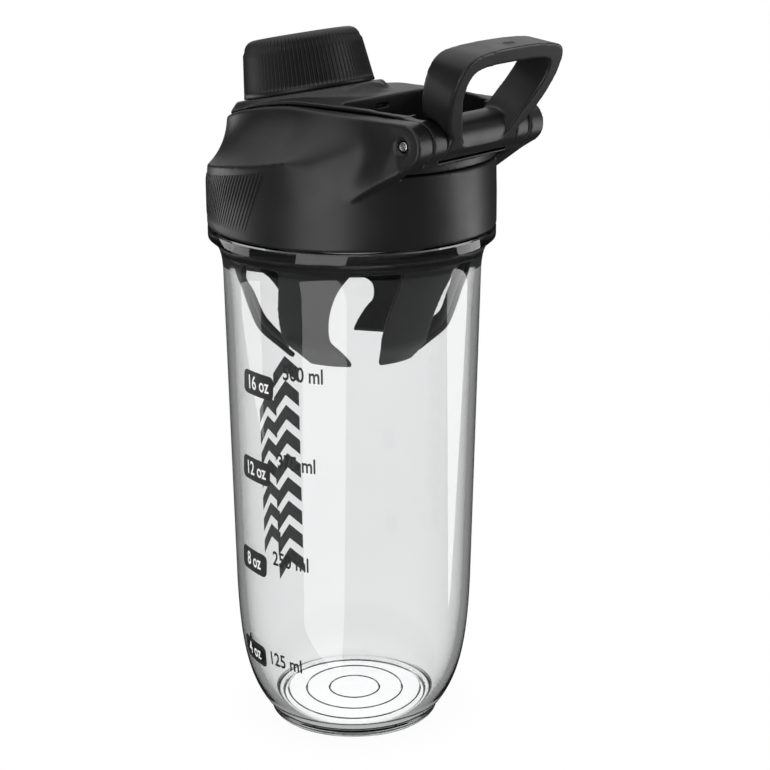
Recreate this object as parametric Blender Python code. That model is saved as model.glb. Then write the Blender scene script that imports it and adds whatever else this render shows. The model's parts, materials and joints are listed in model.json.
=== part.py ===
"""Protein shaker bottle: clear cup, screw lid with hanging mixer, flip arm with a screw cap, carry loop.

The bottle stands on z = 0 with its axis on the world Z axis. The spout is on the -X side and the
hinge on the +X side. Lengths in this file are millimetres until solid() writes them out in metres.
"""
from math import atan2, cos, degrees, hypot, pi, radians, sin, sqrt, tan

import bmesh
import bpy
from mathutils import Matrix, Vector

MM = 0.001
SIDES = 56                 # facets round the cup and the lid
GAP = 0.3                  # running gap between neighbouring pieces

# cup
BASE_Z = 1.0               # underside of the floor, above the foot ring
FOOT_R = 27.4
FOOT_IN_R = 24.6
WALL = 2.4
BODY_LOW = (38.39, 48.6)   # radius and height where the rounded base becomes the straight wall
BODY_TOP = (40.43, 150.0)
FLOOR_Z = 4.6
FLANGE_R = 44.9
FLANGE_LOW_Z = 160.6
FLANGE_Z = 164.1
NECK_R = 40.4
BORE_R = 37.9
MOUTH_Z = 180.0

# neck thread, three starts, right handed
LID_LEAD = 16.0
STARTS = 3
RIDGE_ARC = 100.0
CUP_RIDGE_R = 41.8
CUP_RIDGE_Z = 169.6
LID_RIDGE_R = 41.1
LID_RIDGE_Z = CUP_RIDGE_Z - LID_LEAD / STARTS / 2

# lid
SKIRT_R = 45.0
SKIRT_Z = 164.5
SKIRT_BORE = 42.6
SEAT_Z = 182.5             # face that presses on the seal
CEILING_Z = 183.8
DECK_Z = 186.3             # flat floor under the flip arm, level with the rear edge of the skirt
PLUG_R = (33.8, 35.6)
PLUG_Z = 172.0

# outline of the flip arm in plan: a round front and two nearly straight sides
FRONT_X = -15.7
FRONT_R = 25.7
HINGE_X = 44.6
HINGE_Z = 196.8
ARM_HALF = 23.0
SEAM_Z = 203.3
EAR_R = 6.4
EAR_OUT = 30.0
EAR_IN = ARM_HALF + GAP
FOOT_OF_WING = (29.7, 180.0)

# cap, on an axis that leans forward
TILT = radians(11.7)
CAP_AT = Vector((-17.2, 0.0, 203.6))
CAP_FRAME = Matrix.Translation(CAP_AT) @ Matrix.Rotation(-TILT, 4, "Y")
CAP_R = 20.6
CAP_TOP_R = 18.2
CAP_H = 17.5
CAP_RIBS = 46              # a coarse form of the fine ribbing
COLLAR_HOLE = 18.5
CORE_R = 18.2
CORE_BORE = 17.2
FLANGE_S = (-6.1, -5.0)
SPOUT_R = 12.3
SPOUT_FOOT_R = 13.6
SPOUT_BORE = 10.3
SPOUT_TOP = 6.0
CAP_LEAD = 4.0

# hinge, knuckles and carry loop
PIN_R = 1.45
PIN_HALF = 29.4
PIN_BORE = PIN_R + GAP
KNUCKLE_R = 6.2
KNUCKLE_IN = 16.4
LEAN = radians(25.0)
LOOP_OUT = 6.3             # outer face of the loop, measured from the hinge axis
LOOP_IN = -5.0
LOOP_TOP = (32.8, 28.6)    # top of the loop along its outer and inner faces
LOOP_SHOULDER = 20.0       # above this the inner face is drawn in, so that the top stays level
LOOP_SIDE = ((16.0, -0.5), (16.0, 4.0), (18.6, 6.6), (22.0, 12.4), (23.8, 18.0), (24.2, 22.0), (23.8, 26.2),
             (22.6, 28.8), (20.6, 30.6), (17.5, 31.6), (12.0, 32.3), (6.0, 32.7))
WINDOW_SIDE = ((7.0, 0.5), (10.2, 2.2), (13.4, 8.2), (15.8, 12.2), (18.1, 17.0), (19.0, 20.8), (18.8, 23.6),
               (17.5, 25.8), (14.5, 26.9), (7.8, 27.5))
RECESS_Z = 189.2
TUB_Z = 187.0

# mixer
MIXER_R = (35.9, 37.2)
MIXER_Z = (156.8, 181.6)
CLAWS = 6
CLAW_AT = 22.5             # middle of the first claw, degrees from -Y towards +X
CLAW_THICK = 1.7


# ---------------------------------------------------------------- shared tools

def material(name, colour, roughness, metallic=0.0, alpha=1.0):
    mat = bpy.data.materials.new(name)
    mat.use_nodes = True
    shader = mat.node_tree.nodes["Principled BSDF"]
    shader.inputs["Base Color"].default_value = (*colour, 1.0)
    shader.inputs["Roughness"].default_value = roughness
    shader.inputs["Metallic"].default_value = metallic
    shader.inputs["Alpha"].default_value = alpha
    return mat


def blend(a, b, t):
    return a + (b - a) * t


def smooth(t):
    t = min(max(t, 0.0), 1.0)
    return t * t * (3 - 2 * t)


def bezier(p0, p1, p2, p3, steps):
    """Points of a cubic curve in a plane, both ends included."""
    out = []
    for i in range(steps + 1):
        t = i / steps
        u = 1 - t
        weights = (u ** 3, 3 * u * u * t, 3 * u * t * t, t ** 3)
        out.append(tuple(sum(w * p[k] for w, p in zip(weights, (p0, p1, p2, p3))) for k in (0, 1)))
    return out


def arc(centre, radius, start, stop, steps):
    """Points of an arc in a plane, angles in degrees."""
    angles = [radians(blend(start, stop, i / steps)) for i in range(steps + 1)]
    return [(centre[0] + radius * cos(a), centre[1] + radius * sin(a)) for a in angles]


def solid(name, mesh, mat=None, origin=(0, 0, 0), sharp=35):
    """Turn a bmesh in millimetres into an object in metres, with its origin where it is asked for."""
    bmesh.ops.remove_doubles(mesh, verts=mesh.verts, dist=0.0005)
    bmesh.ops.recalc_face_normals(mesh, faces=mesh.faces)
    bmesh.ops.translate(mesh, verts=mesh.verts, vec=-Vector(origin))
    bmesh.ops.scale(mesh, verts=mesh.verts, vec=(MM, MM, MM))
    data = bpy.data.meshes.new(name)
    mesh.to_mesh(data)
    mesh.free()
    data.shade_smooth()
    data.set_sharp_from_angle(angle=radians(sharp))
    obj = bpy.data.objects.new(name, data)
    obj.location = Vector(origin) * MM
    bpy.context.scene.collection.objects.link(obj)
    if mat:
        data.materials.append(mat)
    return obj


def skin(rings, closed=False):
    """Quads between rings of points; open stacks are closed by a face at each end."""
    mesh = bmesh.new()
    rows = [[mesh.verts.new(p) for p in ring] for ring in rings]
    pairs = list(zip(rows, rows[1:])) + ([(rows[-1], rows[0])] if closed else [])
    for low, high in pairs:
        for i in range(len(low)):
            j = (i + 1) % len(low)
            mesh.faces.new((low[i], low[j], high[j], high[i]))
    if not closed:
        mesh.faces.new(rows[0])
        mesh.faces.new(rows[-1])
    return mesh


def turned(outline, sides=SIDES, frame=Matrix()):
    """Turn a closed (radius, height) outline about the local Z axis."""
    mesh = bmesh.new()
    rings = []
    for r, z in outline:
        count = sides if r > 0 else 1
        turn = [2 * pi * i / sides for i in range(count)]
        rings.append([mesh.verts.new(frame @ Vector((r * cos(a), r * sin(a), z))) for a in turn])
    for a, b in zip(rings, rings[1:] + rings[:1]):
        for i in range(sides):
            corners = [a[i % len(a)], a[(i + 1) % len(a)], b[(i + 1) % len(b)], b[i % len(b)]]
            corners = list(dict.fromkeys(corners))
            if len(corners) > 2:
                mesh.faces.new(corners)
    return mesh


def upright(a, b, c):
    """Place for a prism drawn in plan and pushed along Z."""
    return Vector((a, b, c))


def sideways(a, b, c):
    """Place for a prism drawn in the X-Z plane and pushed along Y."""
    return Vector((a, c, b))


def prism(outline, low, high, place):
    """A closed outline of (a, b) points, extruded from low to high; place(a, b, c) gives the point."""
    return skin([[place(a, b, c) for a, b in outline] for c in (low, high)])


def combine(*meshes):
    """Put several bmeshes into one, still separate bodies, for a single Boolean tool."""
    whole = bmesh.new()
    for part in meshes:
        data = bpy.data.meshes.new("part")
        part.to_mesh(data)
        part.free()
        whole.from_mesh(data)
        bpy.data.meshes.remove(data)
    return whole


def shape(target, operation, mesh, name):
    """Join or cut the target with a hidden tool."""
    tool = solid(name, mesh)
    tool.hide_render = True
    tool.display_type = "WIRE"
    step = target.modifiers.new(name, "BOOLEAN")
    step.operation = operation
    step.solver = "EXACT"
    step.object = tool


def ridge(root, crest, width, low, lead, start, sweep, frame=Matrix()):
    """One helical thread ridge with tapered ends. The root is buried in the wall that carries it."""
    stations = max(6, round(sweep / 9))
    rings = []
    for i in range(stations + 1):
        t = i / stations
        fade = min(1.0, 6 * min(t, 1 - t) + 0.12)
        angle = radians(start + sweep * t)
        z = low + lead * sweep * t / 360
        tip = blend(root, crest, fade)
        half = width / 2
        section = ((root, -half), (tip, -half * 0.55), (tip, half * 0.55), (root, half))
        rings.append([frame @ Vector((r * cos(angle), r * sin(angle), z + dz)) for r, dz in section])
    return skin(rings)


# ---------------------------------------------------------------- cup

def cup_outline():
    foot = [(0, BASE_Z), (FOOT_IN_R - 0.8, BASE_Z), (FOOT_IN_R, 0), (FOOT_R, 0), (28.2, 3.0)]
    base = bezier((29.4, 4.0), (35.5, 12.5), (37.9, 24.0), BODY_LOW, 6)
    flange = bezier(BODY_TOP, (40.7, 155.5), (41.6, 158.9), (FLANGE_R - 0.3, FLANGE_LOW_Z), 3)
    flange += [(FLANGE_R, FLANGE_LOW_Z + 0.6), (FLANGE_R, FLANGE_Z)]
    neck = [(NECK_R, FLANGE_Z), (NECK_R, MOUTH_Z - 0.6), (NECK_R - 0.6, MOUTH_Z)]
    neck += [(BORE_R + 0.6, MOUTH_Z), (BORE_R, MOUTH_Z - 0.6), (BORE_R, BODY_TOP[1] + 3)]
    inner = bezier((BODY_LOW[0] - WALL, BODY_LOW[1]), (35.4, 25.5), (33.4, 13.5), (26.6, FLOOR_Z + 0.5), 5)
    return foot + base + flange + neck + inner + [(24.4, FLOOR_Z), (0, FLOOR_Z)]


def make_cup(clear):
    cup = solid("cup", turned(cup_outline()), clear)
    ridges = [
        ridge(NECK_R - 0.4, CUP_RIDGE_R, 2.2, CUP_RIDGE_Z, LID_LEAD, 360 / STARTS * k, RIDGE_ARC)
        for k in range(STARTS)
    ]
    shape(cup, "UNION", combine(*ridges), "cup_thread")


# ---------------------------------------------------------------- lid

def seam_half(x):
    """Half width of the flip arm's outline at x."""
    if x < FRONT_X:
        return sqrt(max(FRONT_R ** 2 - (x - FRONT_X) ** 2, 0))
    return blend(FRONT_R, ARM_HALF, min((x - FRONT_X) / (HINGE_X - FRONT_X), 1))


def seam_height(x):
    """Height of the joint line between the arm and the lid."""
    return SEAM_Z - 0.01334 * max(2.0 - x, 0) ** 1.75


def seam_reach(psi, grow=0.0):
    """Distance from the bottle axis to the seam outline, psi degrees round from the front."""
    low, high = 0.0, 60.0
    for _ in range(40):
        r = (low + high) / 2
        x, y = -r * cos(radians(psi)), abs(r * sin(radians(psi)))
        inside = y < seam_half(x) + grow if x > FRONT_X else hypot(x - FRONT_X, y) < FRONT_R + grow
        low, high = (r, high) if inside and x < HINGE_X else (low, r)
    return low


def wing_low(x):
    """Height of the slanting lower edge of a wing, which runs up to the ear."""
    slope = (HINGE_Z - EAR_R * 0.9 - FOOT_OF_WING[1]) / (HINGE_X + 2.6 - FOOT_OF_WING[0])
    return FOOT_OF_WING[1] + slope * (x - FOOT_OF_WING[0])


def crease(psi):
    """Height where the skirt turns into the dome; behind the foot of each wing it drops to the deck."""
    x = -SKIRT_R * cos(radians(psi))
    rising = 188.3 + 0.172 * x
    low = min(wing_low(max(x, FOOT_OF_WING[0])), DECK_Z)
    return blend(rising, low, smooth((psi - 137) / 9))


def lid_ring_profile(psi):
    """Points from the skirt's lower edge up and over to the seam, psi degrees from the front."""
    fold = (SKIRT_R - 0.5, crease(psi))
    strip = 1.0 + 5.4 * smooth((psi - 70) / 75)
    top_r = min(seam_reach(psi, strip), 41.0 if psi > 131 else 43.0)
    x = -top_r * cos(radians(psi))
    top = (top_r, seam_height(x))
    wing = smooth((psi - 95) / 35)
    run, rise = fold[0] - top[0], top[1] - fold[1]
    low_pull = (fold[0] - run * blend(0.42, 0.1, wing), fold[1] + rise * blend(0.2, 0.3, wing))
    top_pull = (top[0] + run * blend(0.08, 0.3, wing), top[1] - rise * blend(0.42, 0.3, wing))
    dome = bezier(fold, low_pull, top_pull, (top[0] + 0.3, top[1] - 0.5), 6)
    skirt = [(SKIRT_R - 0.4, SKIRT_Z), (SKIRT_R, SKIRT_Z + 0.5), (SKIRT_R - 0.1, 175.0)]
    return skirt + dome + [(top[0] - 0.3, top[1])]


def around(psi, side, r, z):
    return Vector((-r * cos(radians(psi)), side * r * sin(radians(psi)), z))


def lid_shell():
    half = SIDES // 2
    angles = [(180 * i / half, -1) for i in range(half)] + [(180 - 180 * i / half, 1) for i in range(half)]
    profiles = [(psi, side, lid_ring_profile(psi)) for psi, side in angles]
    count = len(profiles[0][2])
    rings = [[around(psi, side, *prof[k]) for psi, side, prof in profiles] for k in range(count)]
    for share in (0.8, 0.5, 0.2):
        inner = [Vector((p.x * share, p.y * share, 0)) for p in rings[count - 1]]
        rings.append([Vector((p.x, p.y, seam_height(p.x))) for p in inner])
    return skin(rings)


def wing_mesh(side):
    """One wing with its round ear: a side outline given its outer face by wing_face."""
    end = degrees(atan2(wing_low(HINGE_X + 2.6) - HINGE_Z, 2.6))
    round_end = arc((HINGE_X, HINGE_Z), EAR_R, end, 90, 10)
    top = [(x, SEAM_Z - 0.1) for x in (38.0, 31.0, 24.0)]
    low = [(24.0, 181.5), FOOT_OF_WING, (35.7, wing_low(35.7)), (41.0, wing_low(41.0))]
    outline = round_end + top + low

    def face(x, z):
        back = max(HINGE_X - x, 0)
        f = min(max((SEAM_Z - z) / (SEAM_Z - wing_low(x)), 0), 1)
        return EAR_OUT + back * blend(-0.02, 0.255, f)

    outer = [Vector((x, side * face(x, z), z)) for x, z in outline]
    inner = [Vector((x, side * EAR_IN, z)) for x, z in outline]
    return skin([inner, outer])


def pocket_outline(inset):
    """The arm's outline in plan, drawn in by inset, closed across the back."""
    r = FRONT_R - inset
    front = arc((FRONT_X, 0), r, 90, 270, 24)
    return front + [(8.0, -(seam_half(8.0) - inset)), (8.0, seam_half(8.0) - inset)]


def make_lid(black):
    lid = solid("lid", lid_shell(), black)
    shape(lid, "UNION", combine(wing_mesh(-1), wing_mesh(1)), "wings")
    front = prism(pocket_outline(2.4), DECK_Z, 215.0, upright)
    shape(lid, "DIFFERENCE", front, "front_pocket")
    rear_outline = [(7.0, -24.2), (30.0, -EAR_IN), (56.0, -EAR_IN)]
    rear_outline += [(56.0, EAR_IN), (30.0, EAR_IN), (7.0, 24.2)]
    shape(lid, "DIFFERENCE", prism(rear_outline, DECK_Z, 215.0, upright), "rear_pocket")
    hollow = [(0, 160.0), (SKIRT_BORE, 160.0), (SKIRT_BORE, SEAT_Z), (PLUG_R[1], SEAT_Z)]
    hollow += [(PLUG_R[1], PLUG_Z), (PLUG_R[0], PLUG_Z), (PLUG_R[0], CEILING_Z), (0, CEILING_Z)]
    shape(lid, "DIFFERENCE", turned(hollow), "hollow")
    foot = -(CAP_AT.z - CEILING_Z - 1.0) / cos(TILT)
    spout = [(0, foot), (SPOUT_FOOT_R + 1.2, foot), (SPOUT_FOOT_R, foot + 4.0), (SPOUT_R + 0.6, 0)]
    spout += [(SPOUT_R, SPOUT_TOP - 0.8), (SPOUT_R - 0.8, SPOUT_TOP), (0, SPOUT_TOP)]
    shape(lid, "UNION", turned(spout, 40, CAP_FRAME), "spout")
    bore = [(0, foot - 8.0), (SPOUT_BORE + 0.6, foot - 8.0)]
    bore += [(SPOUT_BORE, SPOUT_TOP + 4.0), (0, SPOUT_TOP + 4.0)]
    turned_a_little = CAP_FRAME @ Matrix.Rotation(radians(3.7), 4, "Z")
    shape(lid, "DIFFERENCE", turned(bore, 38, turned_a_little), "spout_bore")
    ridges = [
        ridge(SKIRT_BORE + 0.4, LID_RIDGE_R, 2.2, LID_RIDGE_Z, LID_LEAD, 360 / STARTS * k, RIDGE_ARC)
        for k in range(STARTS)
    ]
    ridges += [
        ridge(SPOUT_R + 0.1, SPOUT_R + 1.5, 1.6, -3.4, CAP_LEAD, 180 * k, 150, CAP_FRAME) for k in range(2)
    ]
    shape(lid, "UNION", combine(*ridges), "lid_threads")
    sides = 20
    along = Matrix.Translation((HINGE_X, 0, HINGE_Z)) @ Matrix.Rotation(pi / 2, 4, "X")
    pin_hole = turned([(0, -40), (PIN_BORE, -40), (PIN_BORE, 40), (0, 40)], sides, along)
    shape(lid, "DIFFERENCE", pin_hole, "ear_bores")
    sinks = []
    for s in (-1, 1):
        sinks.append(turned([(0, s * 29.2), (2.3, s * 29.2), (2.3, s * 34), (0, s * 34)], sides, along))
    shape(lid, "DIFFERENCE", combine(*sinks), "ear_sinks")


def make_lid_seal(rubber):
    low, high = MOUTH_Z + GAP, SEAT_Z - GAP
    outline = [(38.2, low), (42.0, low), (42.2, low + 0.3), (42.2, high - 0.3), (42.0, high), (38.2, high)]
    solid("lid_seal", turned(outline), rubber)


def make_pin(steel):
    along = Matrix.Translation((HINGE_X, 0, HINGE_Z)) @ Matrix.Rotation(pi / 2, 4, "X")
    end = PIN_HALF
    outline = [(0, -end), (PIN_R - 0.3, -end), (PIN_R, -end + 0.3)]
    outline += [(PIN_R, end - 0.3), (PIN_R - 0.3, end), (0, end)]
    solid("hinge_pin", turned(outline, 16, along), steel)


# ---------------------------------------------------------------- mixer

def claw_mesh(middle):
    """One claw: a plate that follows the neck, then bends in to a hooked tip."""
    # radius, height, and how far each edge lies from the claw's middle, in degrees
    stations = (
        (36.5, 159.5, -20.0, 20.0),
        (36.3, 156.0, -18.0, 17.0),
        (35.6, 150.0, -19.5, 11.0),
        (33.7, 142.0, -23.0, 6.5),
        (31.4, 134.5, -25.0, 5.5),
        (29.4, 131.0, -24.5, 8.0),
        (25.0, 126.8, -22.0, 13.5),
        (21.2, 123.2, -19.0, 18.0),
    )
    columns = 4
    rings = []
    for i, (r, z, low, high) in enumerate(stations):
        before, after = stations[max(i - 1, 0)], stations[min(i + 1, len(stations) - 1)]
        run = Vector((after[0] - before[0], after[1] - before[1])).normalized()
        inward = Vector((run.y, -run.x)) * CLAW_THICK
        angles = [radians(middle + blend(low, high, k / columns)) for k in range(columns + 1)]
        outer = [Vector((r * sin(a), -r * cos(a), z)) for a in angles]
        inner_r, inner_z = r + inward.x, z + inward.y
        inner = [Vector((inner_r * sin(a), -inner_r * cos(a), inner_z)) for a in reversed(angles)]
        rings.append(outer + inner)
    return skin(rings)


def make_mixer(black):
    inner, outer = MIXER_R
    low, high = MIXER_Z
    outline = [(inner, low), (outer, low), (outer, high), (inner, high)]
    mixer = solid("mixer", turned(outline), black)
    claws = [claw_mesh(CLAW_AT + 360 / CLAWS * k) for k in range(CLAWS)]
    shape(mixer, "UNION", combine(*claws), "claws")


# ---------------------------------------------------------------- flip arm

def arm_top(x, y):
    """Height of the arm's upper face: a low rim, rising to the collar round the cap."""
    local = CAP_FRAME.inverted() @ Vector((x, y, CAP_AT.z))
    axis_x = CAP_AT.x - local.z * sin(TILT)
    away = hypot((x - axis_x) * cos(TILT), y)
    plane = CAP_AT.z + (x - CAP_AT.x) * tan(TILT) - GAP / cos(TILT)
    cone = plane - max(away - CAP_R - 0.4, 0) * 1.25
    rim = seam_height(x) + blend(0.4, 1.5, smooth((x + 30) / 30)) - 0.8 * smooth((x - 22) / 16)
    soft = 1.2
    if abs(cone - rim) < soft:
        mixed = (cone + rim) / 2 + (cone - rim) ** 2 / (4 * soft) + soft / 4
        return mixed
    return max(cone, rim)


def arm_plate():
    """The arm's upper plate as rings from the collar hole out to the outline, over and under."""
    half = 30
    psis = [180 * i / half for i in range(half)]
    angles = [(p, -1) for p in psis] + [(180 - p, 1) for p in psis]
    centre = Vector((CAP_AT.x, 0, 0))
    hole = 15.0
    shares = (0.0, 0.25, 0.5, 0.66, 0.8, 0.92, 1.0)

    def edge(psi):
        low, high = 0.0, 80.0
        for _ in range(40):
            r = (low + high) / 2
            x, y = centre.x - r * cos(radians(psi)), r * sin(radians(psi))
            inside = x < 38.0 and y < seam_half(x) if x > FRONT_X else hypot(x - FRONT_X, y) < FRONT_R
            low, high = (r, high) if inside else (low, r)
        return low

    def ring(share, height):
        points = []
        for psi, side in angles:
            r = blend(hole, edge(psi), share)
            x, y = centre.x - r * cos(radians(psi)), side * r * sin(radians(psi))
            points.append(Vector((x, y, height(x, y))))
        return points

    thick = 2.4
    over = [ring(share, arm_top) for share in shares]
    seam = ring(1.0, lambda x, y: seam_height(x) + GAP)

    def underside(x, y):
        return max(arm_top(x, y) - thick, seam_height(x) + GAP)

    under = [ring(share, underside) for share in (0.93, 0.8, 0.5, 0.0)]
    return skin(over + [seam] + under, closed=True)


def recess_outline(grow):
    """The dish for fingertips under the carry loop, drawn in plan; grow makes the tub round it."""
    front, back = 12.6 - grow, 38.2 + 0.5 * grow
    side = 21.8 + min(grow, 0.9)
    corner = 6.0
    turn = arc((front + corner, side - corner), corner, 180, 90, 5)
    upper = turn + [(back, side)]
    return upper + [(x, -y) for x, y in reversed(upper)]


def make_arm(black):
    arm = solid("flip_arm", arm_plate(), black, (HINGE_X, 0, HINGE_Z))
    tub = prism(recess_outline(2.0), TUB_Z, SEAM_Z + 0.5, upright)
    shape(arm, "UNION", tub, "tub")
    # web between the tub and the knuckles, finished at the back on the skirt's own radius
    web = [(34.0, TUB_Z), (HINGE_X - 1.2, TUB_Z - 0.3), (HINGE_X + 0.4, TUB_Z - 0.3)]
    web += arc((HINGE_X, HINGE_Z), KNUCKLE_R, -62, 190, 14)
    web += [(37.2, RECESS_Z - 0.4), (34.0, RECESS_Z - 0.4)]
    shape(arm, "UNION", prism(web, -(ARM_HALF - 0.3), ARM_HALF - 0.3, sideways), "hinge_web")
    # the rim runs on down to the knuckles as a thin cheek on each side
    cheek = bezier((34.0, 204.05), (38.0, 204.05), (41.0, 203.0), (HINGE_X, HINGE_Z + KNUCKLE_R - 0.02), 5)
    cheek += [(HINGE_X, HINGE_Z), (34.0, HINGE_Z)]
    for s in (-1, 1):
        shape(arm, "UNION", prism(cheek, s * 21.7, s * (ARM_HALF - 0.25), sideways), "cheek")
    shape(arm, "DIFFERENCE", prism(recess_outline(0), RECESS_Z, 220.0, upright), "recess")
    room = [(34.5, RECESS_Z)] + arc((HINGE_X, HINGE_Z), KNUCKLE_R + 0.4, 205, 335, 10)
    room += [(56.0, HINGE_Z), (56.0, 215.0), (34.5, 215.0)]
    shape(arm, "DIFFERENCE", prism(room, -KNUCKLE_IN, KNUCKLE_IN, sideways), "loop_room")
    under_curve = turned([(SKIRT_R - 0.2, 180.0), (70.0, 180.0), (70.0, 189.7), (SKIRT_R - 0.2, 189.7)])
    shape(arm, "DIFFERENCE", under_curve, "rear_curve")
    hole = turned([(0, -14.0), (COLLAR_HOLE, -14.0), (COLLAR_HOLE, 9.0), (0, 9.0)], 48, CAP_FRAME)
    shape(arm, "DIFFERENCE", hole, "collar_hole")
    along = Matrix.Translation((HINGE_X, 0, HINGE_Z)) @ Matrix.Rotation(pi / 2, 4, "X")
    bore = turned([(0, -40), (PIN_BORE, -40), (PIN_BORE, 40), (0, 40)], 20, along)
    shape(arm, "DIFFERENCE", bore, "knuckle_bores")


# ---------------------------------------------------------------- cap

def make_spout_cap(black):
    """Ribbed shell: fine upright ribs between a plain lower rim and a rounded top edge."""
    sides = CAP_RIBS * 2
    top, low = CAP_H, 0.0
    corner = 3.6
    lean = (CAP_R - CAP_TOP_R) / CAP_H

    def ring(r, z, depth=0.0):
        points = []
        for i in range(sides):
            a = 2 * pi * i / sides
            reach = r - depth * (i % 2)
            points.append(CAP_FRAME @ Vector((reach * cos(a), reach * sin(a), z)))
        return points

    def wall(z):
        return CAP_R - lean * z

    shoulder = arc((wall(top) - corner, top - corner), corner, 8, 90, 4)
    rings = [ring(3.0, top - 1.6), ring(wall(top) - 2.6, top - 1.6)]
    rings += [ring(wall(13.0) - 1.3, 13.0), ring(wall(low) - 1.4, low)]
    rings += [ring(wall(low), low), ring(wall(2.4), 2.4)]
    rings += [ring(wall(3.0), 3.0, 0.45), ring(wall(13.4), 13.4, 0.45)]
    rings += [ring(r, z, 0.4 * (1 - k / 3)) for k, (r, z) in enumerate(shoulder[:4])]
    rings += [ring(shoulder[4][0], top), ring(3.0, top)]
    solid("spout_cap", skin(rings), black, tuple(CAP_AT))


def make_cap_core(black):
    """Threaded sleeve: it drops through the collar, and its flange keeps the cap on the arm."""
    low, high = FLANGE_S
    disc = SPOUT_TOP + 2.2
    outline = [(CORE_BORE, low), (20.0, low), (20.0, high), (CORE_R, high), (CORE_R, 6.4)]
    outline += [(17.1, disc + 1.4), (6.0, disc + 1.4), (6.0, CAP_H - 1.6 - GAP), (0, CAP_H - 1.6 - GAP)]
    outline += [(0, disc), (15.9, disc)]
    outline += [(CORE_BORE - 0.3, disc - 1.0)]
    core = solid("cap_core", turned(outline, 48, CAP_FRAME), black, tuple(CAP_AT))
    ridges = [
        ridge(CORE_BORE + 0.3, CORE_BORE - 0.8, 1.4, -1.4, CAP_LEAD, 180 * k + 20, 140, CAP_FRAME)
        for k in range(2)
    ]
    shape(core, "UNION", combine(*ridges), "core_thread")


def make_cap_seal(rubber):
    low, high = SPOUT_TOP + GAP, SPOUT_TOP + 1.9
    outline = [(0, low), (15.0, low), (15.4, low + 0.4), (15.4, high), (0, high)]
    solid("cap_seal", turned(outline, 48, CAP_FRAME), rubber, tuple(CAP_AT))


# ---------------------------------------------------------------- carry loop

def loop_point(w, u, v):
    """A point of the loop: w across the bottle, u along the loop, v out of its outer face."""
    return Vector((HINGE_X + u * sin(LEAN) + v * cos(LEAN), w, HINGE_Z + u * cos(LEAN) - v * sin(LEAN)))


def loop_ring(side, v):
    """One outline of the loop or its window at depth v, its upper part drawn in towards the inner face."""
    top = blend(LOOP_TOP[1], LOOP_TOP[0], (v - LOOP_IN) / (LOOP_OUT - LOOP_IN))
    share = (top - LOOP_SHOULDER) / (LOOP_TOP[0] - LOOP_SHOULDER)
    points = [(-w, u) for w, u in side] + [(w, u) for w, u in reversed(side)]
    return [loop_point(w, u if u < LOOP_SHOULDER else blend(LOOP_SHOULDER, u, share), v) for w, u in points]


def make_loop(black):
    frame = skin([loop_ring(LOOP_SIDE, LOOP_IN), loop_ring(LOOP_SIDE, LOOP_OUT)])
    loop = solid("carry_loop", frame, black, (HINGE_X, 0, HINGE_Z))
    window = skin([loop_ring(WINDOW_SIDE, v) for v in (LOOP_IN - 3.0, LOOP_OUT + 3.0)])
    shape(loop, "DIFFERENCE", window, "finger_window")
    along = Matrix.Translation((HINGE_X, 0, HINGE_Z)) @ Matrix.Rotation(pi / 2, 4, "X")
    for s in (-1, 1):
        clear = [(0, s * 16.15), (KNUCKLE_R + 0.5, s * 16.15), (KNUCKLE_R + 0.5, s * 30), (0, s * 30)]
        shape(loop, "DIFFERENCE", turned(clear, 40, along), "knuckle_room")
    barrel = [(0, -16.1), (KNUCKLE_R, -16.1), (KNUCKLE_R, 16.1), (0, 16.1)]
    shape(loop, "UNION", turned(barrel, 40, along), "barrel")
    bore = turned([(0, -40), (PIN_BORE, -40), (PIN_BORE, 40), (0, 40)], 20, along)
    shape(loop, "DIFFERENCE", bore, "barrel_bore")


def main():
    for old in list(bpy.data.objects):
        bpy.data.objects.remove(old, do_unlink=True)
    clear = material("clear_plastic", (0.93, 0.95, 0.96), 0.04, alpha=0.3)
    black = material("black_lid_plastic", (0.018, 0.018, 0.019), 0.42)
    arm_black = material("black_arm_plastic", (0.020, 0.020, 0.021), 0.42)
    cap_black = material("black_cap_plastic", (0.022, 0.022, 0.023), 0.45)
    core_black = material("black_core_plastic", (0.016, 0.016, 0.017), 0.5)
    loop_black = material("black_loop_plastic", (0.023, 0.023, 0.024), 0.40)
    mixer_black = material("black_mixer_plastic", (0.017, 0.017, 0.018), 0.38)
    ring_rubber = material("grey_seal_silicone", (0.32, 0.33, 0.34), 0.6)
    cap_rubber = material("grey_cap_silicone", (0.34, 0.35, 0.36), 0.6)
    steel = material("steel_pin", (0.62, 0.62, 0.63), 0.28, metallic=1.0)
    make_cup(clear)
    make_lid(black)
    make_lid_seal(ring_rubber)
    make_mixer(mixer_black)
    make_arm(arm_black)
    make_spout_cap(cap_black)
    make_cap_core(core_black)
    make_cap_seal(cap_rubber)
    make_pin(steel)
    make_loop(loop_black)


main()
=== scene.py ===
import json
from math import atan2, cos, degrees, hypot, pi, radians, sin, sqrt, tan

import bmesh
import bpy
from mathutils import Matrix, Vector


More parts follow.
